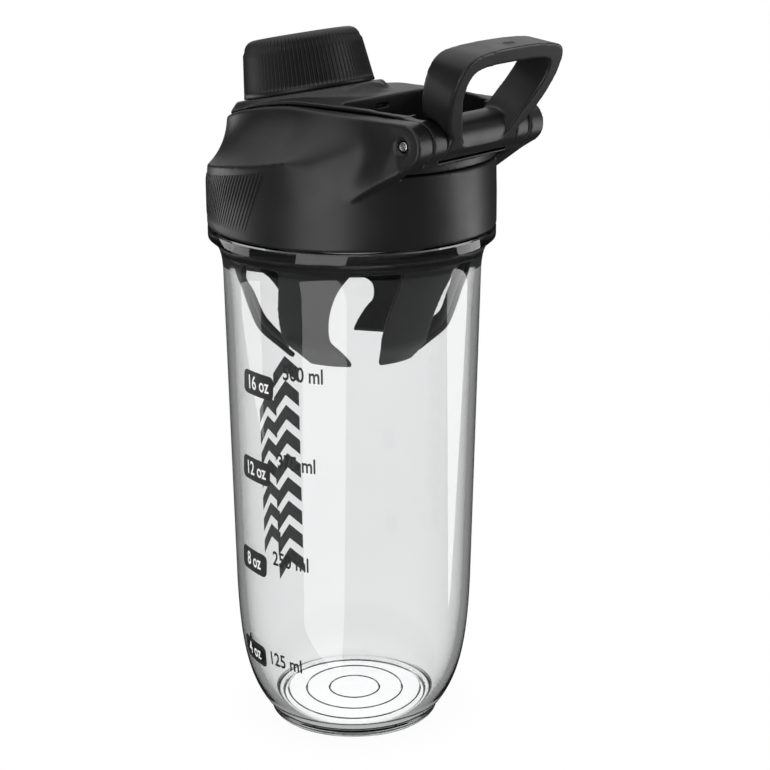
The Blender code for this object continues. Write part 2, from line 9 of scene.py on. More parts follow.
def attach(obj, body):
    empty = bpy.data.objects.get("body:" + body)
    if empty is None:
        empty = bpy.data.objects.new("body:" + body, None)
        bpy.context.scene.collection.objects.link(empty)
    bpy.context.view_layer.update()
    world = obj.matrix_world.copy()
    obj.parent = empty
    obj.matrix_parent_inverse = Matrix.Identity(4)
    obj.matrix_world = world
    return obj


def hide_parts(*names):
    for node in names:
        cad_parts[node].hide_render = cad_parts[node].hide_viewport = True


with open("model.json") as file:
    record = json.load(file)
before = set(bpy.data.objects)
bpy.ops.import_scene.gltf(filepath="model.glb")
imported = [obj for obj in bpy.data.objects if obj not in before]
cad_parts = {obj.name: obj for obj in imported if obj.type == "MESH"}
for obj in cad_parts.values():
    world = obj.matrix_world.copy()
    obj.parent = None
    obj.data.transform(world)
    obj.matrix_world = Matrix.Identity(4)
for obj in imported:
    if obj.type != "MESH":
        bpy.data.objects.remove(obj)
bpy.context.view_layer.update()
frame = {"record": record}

MM = 0.001
JOINTS = {j["name"]: j for j in frame["record"]["behaviour"]["joints"]}
HINGE_X, _, HINGE_Z = (c / MM for c in JOINTS["arm_flip"]["pos_m"])
CAP_AT = Vector(JOINTS["cap_twist"]["pos_m"]) / MM
CAP_AXIS = Vector(JOINTS["cap_twist"]["axis"])
TILT = atan2(-CAP_AXIS.x, CAP_AXIS.z)
CAP_FRAME = Matrix.Translation(CAP_AT) @ Matrix.Rotation(-TILT, 4, "Y")
FACING = 40.0              # the camera's side of the bottle, degrees from -Y towards +X


# ---------------------------------------------------------------- mesh tools

def blend(a, b, t):
    return a + (b - a) * t


def smooth(t):
    t = min(max(t, 0.0), 1.0)
    return t * t * (3 - 2 * t)


def bezier(p0, p1, p2, p3, steps):
    out = []
    for i in range(steps + 1):
        t = i / steps
        u = 1 - t
        weights = (u ** 3, 3 * u * u * t, 3 * u * t * t, t ** 3)
        out.append(tuple(sum(w * p[k] for w, p in zip(weights, (p0, p1, p2, p3))) for k in (0, 1)))
    return out


def arc(centre, radius, start, stop, steps):
    angles = [radians(blend(start, stop, i / steps)) for i in range(steps + 1)]
    return [(centre[0] + radius * cos(a), centre[1] + radius * sin(a)) for a in angles]


def rounded(points, radii, steps=8):
    """A closed polygon with its corners rounded."""
    out = []
    for i, (p, r) in enumerate(zip(points, radii)):
        p = Vector(p)
        a = (Vector(points[i - 1]) - p).normalized()
        b = (Vector(points[(i + 1) % len(points)]) - p).normalized()
        curve = bezier(p + a * r, p + a * r * 0.42, p + b * r * 0.42, p + b * r, steps)
        out += curve if r else [tuple(p)]
    return out


def between(rows, t):
    """Smooth curve through rows of numbers, t from 0 to 1."""
    spans = len(rows) - 1
    i = min(int(t * spans), spans - 1)
    f = t * spans - i
    a, b, c, d = (rows[max(min(i + k, spans), 0)] for k in (-1, 0, 1, 2))
    out = []
    for p, q, r, s in zip(a, b, c, d):
        square = 2 * p - 5 * q + 4 * r - s
        cube = 3 * q - p - 3 * r + s
        out.append(0.5 * (2 * q + (r - p) * f + square * f * f + cube * f ** 3))
    return tuple(out)


def to_object(name, mesh, mat=None, sharp=None):
    """A bmesh in millimetres becomes a smooth-shaded object in metres."""
    bmesh.ops.remove_doubles(mesh, verts=mesh.verts, dist=0.0004)
    bmesh.ops.recalc_face_normals(mesh, faces=mesh.faces)
    bmesh.ops.scale(mesh, verts=mesh.verts, vec=(MM, MM, MM))
    data = bpy.data.meshes.new(name)
    mesh.to_mesh(data)
    mesh.free()
    data.shade_smooth()
    if sharp:
        data.set_sharp_from_angle(angle=radians(sharp))
    obj = bpy.data.objects.new(name, data)
    bpy.context.scene.collection.objects.link(obj)
    if mat:
        data.materials.append(mat)
    return obj


def skin(rings, closed=False, caps=True):
    """Quads between rings of points."""
    mesh = bmesh.new()
    rows = [[mesh.verts.new(p) for p in ring] for ring in rings]
    pairs = list(zip(rows, rows[1:])) + ([(rows[-1], rows[0])] if closed else [])
    for low, high in pairs:
        for i in range(len(low)):
            j = (i + 1) % len(low)
            mesh.faces.new((low[i], low[j], high[j], high[i]))
    if caps and not closed:
        mesh.faces.new(rows[0])
        mesh.faces.new(rows[-1])
    return mesh


def turned(outline, sides=192, place=Matrix()):
    """Turn a closed (radius, height) outline about the local Z axis."""
    mesh = bmesh.new()
    rings = []
    for r, z in outline:
        count = sides if r > 0 else 1
        turn = [2 * pi * i / sides for i in range(count)]
        rings.append([mesh.verts.new(place @ Vector((r * cos(a), r * sin(a), z))) for a in turn])
    for a, b in zip(rings, rings[1:] + rings[:1]):
        for i in range(sides):
            corners = [a[i % len(a)], a[(i + 1) % len(a)], b[(i + 1) % len(b)], b[i % len(b)]]
            corners = list(dict.fromkeys(corners))
            if len(corners) > 2:
                mesh.faces.new(corners)
    return mesh


def drum(radius, low, high, sides, place=Matrix()):
    """A plain round bar along the local Z axis."""
    return turned([(0, low), (radius, low), (radius, high), (0, high)], sides, place)


def prism(outline, low, high, place):
    """Push a flat outline from low to high; place says which way it faces."""
    return skin([[place(a, b, c) for a, b in outline] for c in (low, high)])


def combine(*meshes):
    whole = bmesh.new()
    for part in meshes:
        data = bpy.data.meshes.new("part")
        part.to_mesh(data)
        part.free()
        whole.from_mesh(data)
        bpy.data.meshes.remove(data)
    return whole


def upright(a, b, c):
    return Vector((a, b, c))


def sideways(a, b, c):
    return Vector((a, c, b))


def shape(target, operation, mesh):
    """Join or cut the target at once with a tool that is then thrown away."""
    tool = to_object("tool", mesh)
    step = target.modifiers.new("shape", "BOOLEAN")
    step.operation = operation
    step.solver = "EXACT"
    step.object = tool
    settle(target)
    bpy.data.objects.remove(tool, do_unlink=True)


def settle(obj):
    """Apply the object's modifiers."""
    graph = bpy.context.evaluated_depsgraph_get()
    graph.update()
    data = bpy.data.meshes.new_from_object(obj.evaluated_get(graph))
    old = obj.data
    obj.modifiers.clear()
    obj.data = data
    bpy.data.meshes.remove(old)


def finish(obj, mat):
    """One material on the whole object."""
    obj.data.materials.clear()
    obj.data.materials.append(mat)


def moulded(obj, voxel, rounds=4, factor=0.5):
    """Fuse a solid into one even skin whose edges carry the small radii of a moulding."""
    step = obj.modifiers.new("fuse", "REMESH")
    step.mode = "VOXEL"
    step.voxel_size = voxel * MM
    step.use_smooth_shade = True
    ease = obj.modifiers.new("ease", "SMOOTH")
    ease.factor = factor
    ease.iterations = rounds
    settle(obj)
    obj.data.shade_smooth()


def flow(obj, weight, rounds):
    """Ease one region of a moulding; weight gives 0 to 1 at a point in millimetres."""
    group = obj.vertex_groups.new(name="flow")
    for vertex in obj.data.vertices:
        share = weight(vertex.co / MM)
        if share > 0.01:
            group.add([vertex.index], share, "REPLACE")
    step = obj.modifiers.new("flow", "SMOOTH")
    step.vertex_group = "flow"
    step.factor = 0.5
    step.iterations = rounds
    settle(obj)


# ---------------------------------------------------------------- materials

def new_material(name):
    mat = bpy.data.materials.new(name)
    mat.use_nodes = True
    return mat, mat.node_tree, mat.node_tree.nodes["Principled BSDF"]


def noise(tree, scale, detail=3.0, rough=0.5, stretch=None):
    """A noise texture in the object's own metres."""
    place = tree.nodes.new("ShaderNodeTexCoord")
    out = place.outputs["Object"]
    if stretch:
        squeeze = tree.nodes.new("ShaderNodeMapping")
        squeeze.inputs["Scale"].default_value = stretch
        tree.links.new(out, squeeze.inputs["Vector"])
        out = squeeze.outputs["Vector"]
    tex = tree.nodes.new("ShaderNodeTexNoise")
    tex.inputs["Scale"].default_value = scale
    tex.inputs["Detail"].default_value = detail
    tex.inputs["Roughness"].default_value = rough
    tree.links.new(out, tex.inputs["Vector"])
    return tex.outputs["Fac"]


def ramp(tree, source, low, high, start=0.3, stop=0.7):
    """Map a factor between two values or two colours."""
    node = tree.nodes.new("ShaderNodeValToRGB")
    ends = node.color_ramp.elements
    ends[0].position, ends[1].position = start, stop
    for end, value in zip(ends, (low, high)):
        end.color = (*value, 1) if isinstance(value, tuple) else (value, value, value, 1)
    tree.links.new(source, node.inputs["Fac"])
    return node.outputs["Color"]


def bump(tree, source, strength, distance, under=None):
    node = tree.nodes.new("ShaderNodeBump")
    node.inputs["Strength"].default_value = strength
    node.inputs["Distance"].default_value = distance
    tree.links.new(source, node.inputs["Height"])
    if under is not None:
        tree.links.new(under, node.inputs["Normal"])
    return node.outputs["Normal"]


def tinted(colour, share):
    return tuple(min(c * share, 1) for c in colour)


def satin_plastic(name, colour, roughness, grain=0.10, level=0.42):
    """Black moulded plastic: fine grain, slow gloss variation and edges rubbed a little lighter."""
    mat, tree, shader = new_material(name)
    edge = tree.nodes.new("ShaderNodeNewGeometry").outputs["Pointiness"]
    rubbed = ramp(tree, edge, 0.0, 1.0, 0.52, 0.60)
    mottle = ramp(tree, noise(tree, 45, 4), tinted(colour, 0.9), tinted(colour, 1.12))
    mix = tree.nodes.new("ShaderNodeMix")
    mix.data_type = "RGBA"
    tree.links.new(rubbed, mix.inputs["Factor"])
    tree.links.new(mottle, mix.inputs["A"])
    mix.inputs["B"].default_value = (*tinted(colour, 1.7), 1)
    tree.links.new(mix.outputs["Result"], shader.inputs["Base Color"])
    gloss = ramp(tree, noise(tree, 120, 5), roughness - 0.035, roughness + 0.035)
    tree.links.new(gloss, shader.inputs["Roughness"])
    shader.inputs["Specular IOR Level"].default_value = level
    fine = bump(tree, noise(tree, 3800, 2), grain, 0.00006)
    tree.links.new(bump(tree, noise(tree, 260, 2), 0.05, 0.0002, fine), shader.inputs["Normal"])
    return mat


def clear_plastic():
    """Clear copolyester: faint smoke, faint mould waviness and hairline handling marks."""
    mat, tree, shader = new_material("clear_plastic")
    tint = ramp(tree, noise(tree, 20, 2), (0.915, 0.920, 0.922), (0.935, 0.940, 0.942))
    tree.links.new(tint, shader.inputs["Base Color"])
    shader.inputs["Transmission Weight"].default_value = 1.0
    shader.inputs["IOR"].default_value = 1.5
    marks = ramp(tree, noise(tree, 900, 6, 0.7, (1, 1, 0.08)), 0.012, 0.035, 0.45, 0.75)
    tree.links.new(marks, shader.inputs["Roughness"])
    wave = bump(tree, noise(tree, 55, 2, 0.4, (1, 1, 0.35)), 0.05, 0.0003)
    tree.links.new(wave, shader.inputs["Normal"])
    return mat


def print_ink(name, colour, roughness=0.45):
    """Screen-printed ink: a slightly uneven, slightly raised film."""
    mat, tree, shader = new_material(name)
    shade = ramp(tree, noise(tree, 700, 3), tinted(colour, 0.85), tinted(colour, 1.1))
    tree.links.new(shade, shader.inputs["Base Color"])
    gloss = ramp(tree, noise(tree, 500, 3), roughness - 0.08, roughness + 0.08)
    tree.links.new(gloss, shader.inputs["Roughness"])
    tree.links.new(bump(tree, noise(tree, 2600, 2), 0.12, 0.00004), shader.inputs["Normal"])
    return mat


def silicone(name, colour):
    """Soft grey rubber, a little translucent."""
    mat, tree, shader = new_material(name)
    shade = ramp(tree, noise(tree, 60, 3), tinted(colour, 0.92), tinted(colour, 1.06))
    tree.links.new(shade, shader.inputs["Base Color"])
    tree.links.new(ramp(tree, noise(tree, 200, 3), 0.5, 0.62), shader.inputs["Roughness"])
    shader.inputs["Subsurface Weight"].default_value = 0.08
    shader.inputs["Subsurface Scale"].default_value = 0.001
    tree.links.new(bump(tree, noise(tree, 1800, 2), 0.12, 0.00005), shader.inputs["Normal"])
    return mat


def turned_steel():
    """Bright steel with fine tool marks."""
    mat, tree, shader = new_material("turned_steel")
    shader.inputs["Metallic"].default_value = 1.0
    shade = ramp(tree, noise(tree, 900, 3), (0.50, 0.50, 0.51), (0.66, 0.66, 0.67))
    tree.links.new(shade, shader.inputs["Base Color"])
    tree.links.new(ramp(tree, noise(tree, 1500, 4), 0.2, 0.34), shader.inputs["Roughness"])
    tree.links.new(bump(tree, noise(tree, 4000, 2), 0.15, 0.00003), shader.inputs["Normal"])
    return mat


# ---------------------------------------------------------------- cup

WALL = 2.4
BODY_LOW = (38.39, 48.6)
BODY_TOP = (40.43, 150.0)
FLANGE_R, NECK_R, BORE_R = 44.9, 40.4, 37.9
FLANGE_Z, MOUTH_Z = 164.1, 180.0
FLOOR_Z = 4.6


def cup_outside():
    """Radius and height from the rounded base up to the flange."""
    base = bezier((29.4, 4.0), (35.5, 12.5), (37.9, 24.0), BODY_LOW, 22)
    wall = [tuple(blend(BODY_LOW[k], BODY_TOP[k], i / 12) for k in (0, 1)) for i in range(1, 12)]
    flare = bezier(BODY_TOP, (40.7, 155.5), (41.6, 158.9), (FLANGE_R - 0.5, 160.5), 12)
    return base + wall + flare


def cup_radius(z, proud=0.0):
    """Outer radius of the cup at a height, read from its outline."""
    points = cup_outside()
    for (r0, z0), (r1, z1) in zip(points, points[1:]):
        if z0 <= z <= z1:
            return blend(r0, r1, (z - z0) / (z1 - z0)) + proud
    return points[-1][0] + proud


def cup_outline():
    """Closed half section of the cup, from the underside up the outside and down the inside."""
    foot = [(0, 1.0), (23.6, 1.0)] + bezier((23.8, 1.0), (24.3, 1.0), (24.4, 0.1), (24.9, 0), 4)
    foot += [(27.0, 0)] + bezier((27.1, 0), (27.5, 0), (27.6, 0.3), (27.7, 0.8), 3)
    foot += bezier((28.1, 2.6), (28.2, 3.4), (28.5, 3.7), (29.3, 3.95), 4)
    rim = [(FLANGE_R - 0.05, 160.9), (FLANGE_R, 161.4)]
    rim += [(FLANGE_R, FLANGE_Z - 0.4), (FLANGE_R - 0.4, FLANGE_Z)]
    neck = [(NECK_R + 0.4, FLANGE_Z), (NECK_R, FLANGE_Z + 0.4), (NECK_R, MOUTH_Z - 1.0)]
    neck += arc((NECK_R - 1.0, MOUTH_Z - 1.0), 1.0, 15, 90, 4)
    neck += arc((BORE_R + 1.0, MOUTH_Z - 1.0), 1.0, 90, 180, 5)
    top, low = (BODY_TOP[0] - WALL, 148), (BODY_LOW[0] - WALL, BODY_LOW[1])
    inner = [(BORE_R, 154.0)] + bezier((BORE_R, 153.5), (37.95, 151), (38.0, 150), top, 3)
    inner += [tuple(blend(top[k], low[k], i / 10) for k in (0, 1)) for i in range(1, 10)]
    inner += bezier(low, (35.4, 25.5), (33.4, 13.5), (26.6, FLOOR_Z + 0.6), 20)
    floor = bezier((26.0, FLOOR_Z + 0.3), (25.6, FLOOR_Z), (25.2, FLOOR_Z - 0.1), (24.6, FLOOR_Z), 3)
    rings = []
    for r in (22.6, 16.2, 8.4):
        rings += [(r + 0.35, FLOOR_Z), (r, FLOOR_Z + 0.28), (r - 0.35, FLOOR_Z)]
    return foot + cup_outside()[1:] + rim + neck + inner + floor + rings + [(0, FLOOR_Z)]


def ridge(root, crest, width, low, lead, start, sweep, place=Matrix()):
    """One helical thread ridge with tapered ends."""
    stations = round(sweep / 3)
    rings = []
    for i in range(stations + 1):
        t = i / stations
        fade = min(1.0, 7 * min(t, 1 - t) + 0.08)
        angle = radians(start + sweep * t)
        z = low + lead * sweep * t / 360
        tip = blend(root, crest, smooth(fade))
        half = width / 2
        section = ((root, -half), (tip - 0.15, -half * 0.62), (tip, -half * 0.4), (tip, half * 0.4))
        section += ((tip - 0.15, half * 0.62), (root, half))
        rings.append([place @ Vector((r * cos(angle), r * sin(angle), z + dz)) for r, dz in section])
    return skin(rings)


LID_LEAD, STARTS, RIDGE_ARC = 16.0, 3, 100.0
CUP_RIDGE_Z = 169.6


def make_cup(clear):
    cup = to_object("cup_clear", turned(cup_outline(), 224), clear)
    ridges = []
    for k in range(STARTS):
        ridges.append(ridge(NECK_R - 0.4, 41.8, 2.2, CUP_RIDGE_Z, LID_LEAD, 360 / STARTS * k, RIDGE_ARC))
    shape(cup, "UNION", combine(*ridges))
    cup.data.shade_smooth()
    cup.data.set_sharp_from_angle(angle=radians(38))
    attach(cup, "cup")
    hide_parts("cup")


# ---------------------------------------------------------------- printed marks

def on_cup(az, z, proud=0.06):
    """A point just outside the cup's wall; az is degrees from -Y towards +X."""
    r = cup_radius(z, proud)
    return Vector((r * sin(radians(az)), -r * cos(radians(az)), z))


def wrap(points_mesh, az, z, proud):
    """Lay a flat mesh, in millimetres about its own origin, on the cup's wall."""
    radius = cup_radius(z)
    for v in points_mesh.verts:
        v.co = on_cup(az + degrees(v.co.x / radius), z + v.co.y, proud)


def lettering(text, size, weight=0.02, squeeze=0.74):
    """Flat mesh of a few characters, centred on the origin."""
    curve = bpy.data.curves.new("marks", "FONT")
    curve.body = text
    curve.size = size
    curve.align_x = "CENTER"
    curve.align_y = "CENTER"
    curve.offset = size * weight
    curve.resolution_u = 4
    obj = bpy.data.objects.new("marks", curve)
    bpy.context.scene.collection.objects.link(obj)
    graph = bpy.context.evaluated_depsgraph_get()
    graph.update()
    data = bpy.data.meshes.new_from_object(obj.evaluated_get(graph))
    mesh = bmesh.new()
    mesh.from_mesh(data)
    bpy.data.objects.remove(obj, do_unlink=True)
    bpy.data.curves.remove(curve)
    bpy.data.meshes.remove(data)
    bmesh.ops.scale(mesh, verts=mesh.verts, vec=(squeeze, 1, 1))
    return mesh


def flat_shape(outline):
    mesh = bmesh.new()
    mesh.faces.new([mesh.verts.new((x, y, 0)) for x, y in outline])
    return mesh


def film(name, meshes, mat):
    """Printed film in one object, riding on the cup."""
    obj = to_object(name, combine(*meshes), mat)
    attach(obj, "cup")
    return obj


def fine(mesh, step=1.2):
    """Slice a flat mesh with upright cuts so that it can bend."""
    xs = [v.co.x for v in mesh.verts]
    cut = min(xs) + step
    while cut < max(xs):
        everything = mesh.verts[:] + mesh.edges[:] + mesh.faces[:]
        bmesh.ops.bisect_plane(mesh, geom=everything, plane_co=(cut, 0, 0), plane_no=(1, 0, 0))
        cut += step
    return mesh


# text, degrees round from the camera's side, height
ML_MARKS = (
    ("500 ml", -21.3, 125.2),
    ("375 ml", -25.5, 96.3),
    ("250 ml", -29.9, 63.3),
    ("125 ml", -35.6, 27.6),
)
OZ_MARKS = (
    ("16 oz", -46.0, 119.5),
    ("12 oz", -49.7, 91.0),
    ("8 oz", -54.1, 59.6),
    ("4 oz", -59.1, 26.9),
)
# degrees round from the camera's side, top, bottom, chevrons, half width
MOTIF_COLUMNS = ((-141.7, 111.0, 34.0, 9, 5.6), (-128.5, 100.0, 46.0, 7, 4.6))


def make_marks(black_ink, white_ink):
    """Millilitres as plain figures, ounces as pale figures on dark badges."""
    dark, light = [], []
    for text, az, z in ML_MARKS:
        mesh = fine(lettering(text, 6.6))
        wrap(mesh, az + FACING, z, 0.05)
        dark.append(mesh)
    for text, az, z in OZ_MARKS:
        box = [(-7.1, -3.6), (6.5, -4.1), (7.1, 3.6), (-6.5, 4.1)]
        badge = fine(flat_shape(rounded(box, [1.9] * 4, 5)))
        wrap(badge, az + FACING, z, 0.05)
        dark.append(badge)
        mesh = fine(lettering(text, 6.2, 0.016, 0.70))
        wrap(mesh, az + FACING, z, 0.08)
        light.append(mesh)
    film("volume_marks", dark, black_ink)
    film("volume_mark_figures", light, white_ink)


def make_motif(black_ink):
    """Two columns of plain chevrons on the far wall, in place of any lettering."""
    marks = []
    for az, top, low, count, wide in MOTIF_COLUMNS:
        pitch = (top - low) / count
        for k in range(count):
            z = top - pitch * (k + 0.5)
            half, dip = pitch * 0.30, pitch * 0.30
            shape_up = [(-wide, -half - dip), (0, -half + dip), (wide, -half - dip)]
            shape_up += [(wide, half - dip), (0, half + dip), (-wide, half - dip)]
            mesh = fine(flat_shape(shape_up))
            wrap(mesh, az + FACING, z, 0.05)
            marks.append(mesh)
    film("wall_motif", marks, black_ink)


# ---------------------------------------------------------------- lid

SKIRT_R, SKIRT_Z, SKIRT_BORE = 45.0, 164.5, 42.6
SEAT_Z, CEILING_Z, DECK_Z = 182.5, 183.8, 186.3
PLUG_R, PLUG_Z = (33.8, 35.6), 172.0
FRONT_X, FRONT_R, ARM_HALF = -15.7, 25.7, 23.0
SEAM_Z, EAR_R, EAR_OUT = 203.3, 6.4, 30.0
GAP = 0.3
EAR_IN = ARM_HALF + GAP
FOOT_OF_WING = (29.7, 180.0)
SPOUT_R, SPOUT_FOOT_R, SPOUT_BORE, SPOUT_TOP = 12.3, 13.6, 10.3, 6.0
PIN_BORE = 1.75
SINK_R, SINK_IN = 2.3, 29.1
RIB_COUNT, RIB_PITCH, RIB_SLANT = 50, 1.8, 10.0
ALONG_PIN = Matrix.Translation((HINGE_X, 0, HINGE_Z)) @ Matrix.Rotation(pi / 2, 4, "X")


def seam_half(x):
    """Half width of the flip arm's outline at x."""
    if x < FRONT_X:
        return sqrt(max(FRONT_R ** 2 - (x - FRONT_X) ** 2, 0))
    return blend(FRONT_R, ARM_HALF, min((x - FRONT_X) / (HINGE_X - FRONT_X), 1))


def seam_height(x):
    """Height of the joint line between the arm and the lid."""
    return SEAM_Z - 0.01334 * max(2.0 - x, 0) ** 1.75


def seam_reach(psi, grow=0.0):
    """Distance from the bottle axis to the seam outline, psi degrees round from the front."""
    low, high = 0.0, 60.0
    for _ in range(30):
        r = (low + high) / 2
        x, y = -r * cos(radians(psi)), abs(r * sin(radians(psi)))
        inside = y < seam_half(x) + grow if x > FRONT_X else hypot(x - FRONT_X, y) < FRONT_R + grow
        low, high = (r, high) if inside and x < HINGE_X else (low, r)
    return low


def wing_low(x):
    """Height of the wing's sloping lower edge."""
    slope = (HINGE_Z - EAR_R * 0.9 - FOOT_OF_WING[1]) / (HINGE_X + 2.6 - FOOT_OF_WING[0])
    return FOOT_OF_WING[1] + slope * (x - FOOT_OF_WING[0])


def crease(psi):
    """Height where the skirt turns into the dome; behind the foot of each wing it drops to the deck."""
    x = -SKIRT_R * cos(radians(psi))
    rising = 188.3 + 0.172 * x
    low = min(wing_low(max(x, FOOT_OF_WING[0])), DECK_Z)
    return blend(rising, low, smooth((psi - 137) / 9))


def lid_ring_profile(psi):
    """Points from the skirt's lower edge up and over to the seam."""
    fold = (SKIRT_R - 0.5, crease(psi))
    strip = 1.0 + 5.4 * smooth((psi - 70) / 75)
    top_r = min(seam_reach(psi, strip), 41.0 if psi > 131 else 43.0)
    x = -top_r * cos(radians(psi))
    top = (top_r, seam_height(x))
    wing = smooth((psi - 95) / 35)
    run, rise = fold[0] - top[0], top[1] - fold[1]
    low_pull = (fold[0] - run * blend(0.42, 0.1, wing), fold[1] + rise * blend(0.2, 0.3, wing))
    top_pull = (top[0] + run * blend(0.08, 0.3, wing), top[1] - rise * blend(0.42, 0.3, wing))
    dome = bezier(fold, low_pull, top_pull, (top[0] + 0.3, top[1] - 0.5), 22)
    skirt = [(SKIRT_R - 0.4, SKIRT_Z), (SKIRT_R, SKIRT_Z + 0.5), (SKIRT_R - 0.1, 175.0)]
    return skirt + dome + [(top[0] - 0.3, top[1])]


def lid_shell(sides):
    """Skirt and dome up to the seam, closed across the top."""
    half = sides // 2
    angles = [(180 * i / half, -1) for i in range(half)]
    angles += [(180 - 180 * i / half, 1) for i in range(half)]
    profiles = [(psi, side, lid_ring_profile(psi)) for psi, side in angles]
    count = len(profiles[0][2])

    def point(psi, side, r, z):
        return Vector((-r * cos(radians(psi)), side * r * sin(radians(psi)), z))

    rings = [[point(psi, side, *prof[k]) for psi, side, prof in profiles] for k in range(count)]
    for share in (0.8, 0.5, 0.2):
        inner = [Vector((p.x * share, p.y * share, 0)) for p in rings[count - 1]]
        rings.append([Vector((p.x, p.y, seam_height(p.x))) for p in inner])
    return skin(rings)


def wing_mesh(side):
    """One wing with its round ear, from the skirt to the hinge, its outer face a ruled surface."""
    end = degrees(atan2(wing_low(HINGE_X + 2.6) - HINGE_Z, 2.6))
    columns = [24.0 + 2.0 * i for i in range(11)]
    arc_points = arc((HINGE_X, HINGE_Z), EAR_R, end, 90, 30)
    outline = arc_points + [(x, SEAM_Z - 0.1) for x in reversed(columns)]
    outline += [(24.0, 181.5), FOOT_OF_WING] + [(x, wing_low(x)) for x in columns if x > FOOT_OF_WING[0]]

    def face(x, z):
        t = min(max((x - 25.0) / (HINGE_X - 25.0), 0), 1)
        low = blend(EAR_OUT, 37.2, 2 * t ** 3 - 3 * t * t + 1) - 14.6 * t * (1 - t) ** 2
        fold = blend(192.0, wing_low(x), smooth((x - 29.0) / 15.0))
        f = min(max((SEAM_Z - z) / (SEAM_Z - fold), 0), 1)
        return blend(EAR_OUT - 0.02 * max(HINGE_X - x, 0), low, f)

    outer = [Vector((x, side * face(x, z), z)) for x, z in outline]
    inner = [Vector((x, side * EAR_IN, z)) for x, z in outline]
    return skin([inner, outer])


def wing_flow(p):
    """Where the wings melt into the dome."""
    if abs(p.y) < 26.0 or p.x < 11.0:
        return 0.0
    along = smooth((p.x - 11.0) / 8.0) * smooth((41.0 - p.x) / 6.0)
    low = wing_low(max(p.x, FOOT_OF_WING[0]))
    return along * smooth((p.z - low - 0.5) / 2.5) * smooth((SEAM_Z - 0.8 - p.z) / 2.0)


def make_lid(black):
    lid = to_object("lid_body", lid_shell(224))
    shape(lid, "UNION", combine(wing_mesh(-1), wing_mesh(1)))
    reach = FRONT_R - 2.4
    front = arc((FRONT_X, 0), reach, 90, 270, 64)
    front += [(8.0, -(seam_half(8.0) - 2.4)), (8.0, seam_half(8.0) - 2.4)]
    shape(lid, "DIFFERENCE", prism(front, DECK_Z, 215.0, upright))
    rear = [(7.0, -24.2), (30.0, -EAR_IN), (56.0, -EAR_IN), (56.0, EAR_IN), (30.0, EAR_IN), (7.0, 24.2)]
    shape(lid, "DIFFERENCE", prism(rear, DECK_Z, 215.0, upright))
    hollow = [(0, 160.0), (SKIRT_BORE, 160.0), (SKIRT_BORE, SEAT_Z), (PLUG_R[1], SEAT_Z)]
    hollow += [(PLUG_R[1], PLUG_Z), (PLUG_R[0], PLUG_Z), (PLUG_R[0], CEILING_Z), (0, CEILING_Z)]
    shape(lid, "DIFFERENCE", turned(hollow, 160))
    foot = -(CAP_AT.z - CEILING_Z - 1.0) / cos(TILT)
    spout = [(0, foot), (SPOUT_FOOT_R + 1.2, foot), (SPOUT_FOOT_R, foot + 4.0), (SPOUT_R + 0.6, 0)]
    spout += [(SPOUT_R, SPOUT_TOP - 0.8), (SPOUT_R - 0.8, SPOUT_TOP), (0, SPOUT_TOP)]
    shape(lid, "UNION", turned(spout, 96, CAP_FRAME))
    turn = CAP_FRAME @ Matrix.Rotation(radians(3.7), 4, "Z")
    bore = [(0, foot - 8.0), (SPOUT_BORE + 0.6, foot - 8.0)]
    bore += [(SPOUT_BORE, SPOUT_TOP + 4.0), (0, SPOUT_TOP + 4.0)]
    shape(lid, "DIFFERENCE", turned(bore, 90, turn))
    ridges = []
    lid_ridge_z = CUP_RIDGE_Z - LID_LEAD / STARTS / 2
    for k in range(STARTS):
        ridges.append(ridge(SKIRT_BORE + 0.4, 41.1, 2.2, lid_ridge_z, LID_LEAD, 360 / STARTS * k, RIDGE_ARC))
    for k in range(2):
        ridges.append(ridge(SPOUT_R + 0.1, SPOUT_R + 1.5, 1.6, -3.4, 4.0, 180 * k, 150, CAP_FRAME))
    shape(lid, "UNION", combine(*ridges))
    shape(lid, "DIFFERENCE", drum(PIN_BORE, -40, 40, 32, ALONG_PIN))
    for s in (-1, 1):
        shape(lid, "DIFFERENCE", drum(SINK_R, s * SINK_IN, s * 34, 48, ALONG_PIN))
    moulded(lid, 0.55)
    flow(lid, wing_flow, 260)
    finish(lid, black)
    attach(lid, "lid")
    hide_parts("lid")


def make_skirt_ribs(black):
    """Fine slanting ribs across the front of the skirt."""
    strips = []
    for k in range(-RIB_COUNT, RIB_COUNT + 1):
        rings = []
        for i in range(13):
            t = i / 12
            psi = k * RIB_PITCH - (t - 0.5) * RIB_SLANT
            z = blend(166.8, crease(abs(psi)) - 2.6, t)
            high = 0.30 * min(1.0, 7 * min(t, 1 - t) + 0.1)
            ring = []
            for across, out in ((-0.46, -0.25), (-0.2, high), (0.2, high), (0.46, -0.25)):
                a = radians(psi) + across / SKIRT_R
                r = SKIRT_R - 0.16 + out
                ring.append(Vector((-r * cos(a), r * sin(a), z)))
            rings.append(ring)
        strips.append(skin(rings))
    ribs = to_object("skirt_ribs", combine(*strips), black, 50)
    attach(ribs, "lid")


# ---------------------------------------------------------------- flip arm

CAP_R, CAP_TOP_R, CAP_H = 20.6, 18.2, 17.5
COLLAR_HOLE, KNUCKLE_R, KNUCKLE_IN = 18.5, 6.2, 16.4
RECESS_Z, TUB_Z = 189.2, 187.0


